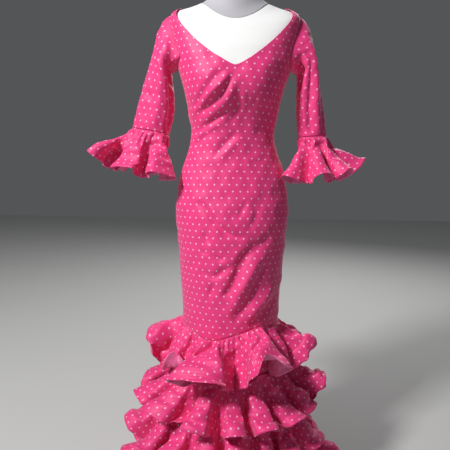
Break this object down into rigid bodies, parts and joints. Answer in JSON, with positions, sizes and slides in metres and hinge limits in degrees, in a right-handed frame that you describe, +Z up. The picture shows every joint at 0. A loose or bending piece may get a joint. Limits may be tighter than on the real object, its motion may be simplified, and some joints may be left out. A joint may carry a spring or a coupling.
{
  "type": "flamenco dress on a dress form",
  "caption": "Fitted V-neck flamenco dress with flounced cuffs and a tiered flounce skirt, standing on a smooth limbless dress form with a pole and a round base.",
  "frame": {"origin": "middle of the stand's underside, on the floor", "axes": "+Z up, the front of the dress faces -Y, the wearer's left is at +X"},
  "size_m": [0.8043, 0.62, 1.563],
  "materials": {
    "cloth": "smooth woven cotton blend, hot pink with small white dots",
    "form_shell": "white satin shell",
    "form_neck": "grey satin",
    "stand_metal": "brushed",
    "zip_nylon": "nylon coil, dyed to match",
    "zip_metal": "enamelled to match"
  },
  "bodies": {
    "root": {"back_left": "cloth", "back_right": "cloth", "cuff_flounce_left": "cloth", "cuff_flounce_right": "cloth", "form_neck": "form_neck", "form_torso": "form_shell", "front": "cloth", "sleeve_left": "cloth", "sleeve_right": "cloth", "stand_base": "stand_metal", "stand_pole": "stand_metal", "tier_1": "cloth", "tier_2": "cloth", "tier_3": "cloth", "tier_4": "cloth", "tier_5": "cloth", "under_skirt_back": "cloth", "under_skirt_front": "cloth", "zip_chain": "zip_nylon", "zip_slider": "zip_metal"},
    "zip_pull": {"zip_pull": "zip_metal"}
  },
  "joints": [
    {"name": "zip_pull_swing", "type": "hinge", "parent": "root", "child": "zip_pull", "pos_m": [0, 0.10683, 1.34573], "axis": [1, 0, 0], "range_deg": [0, 170]}
  ]
}
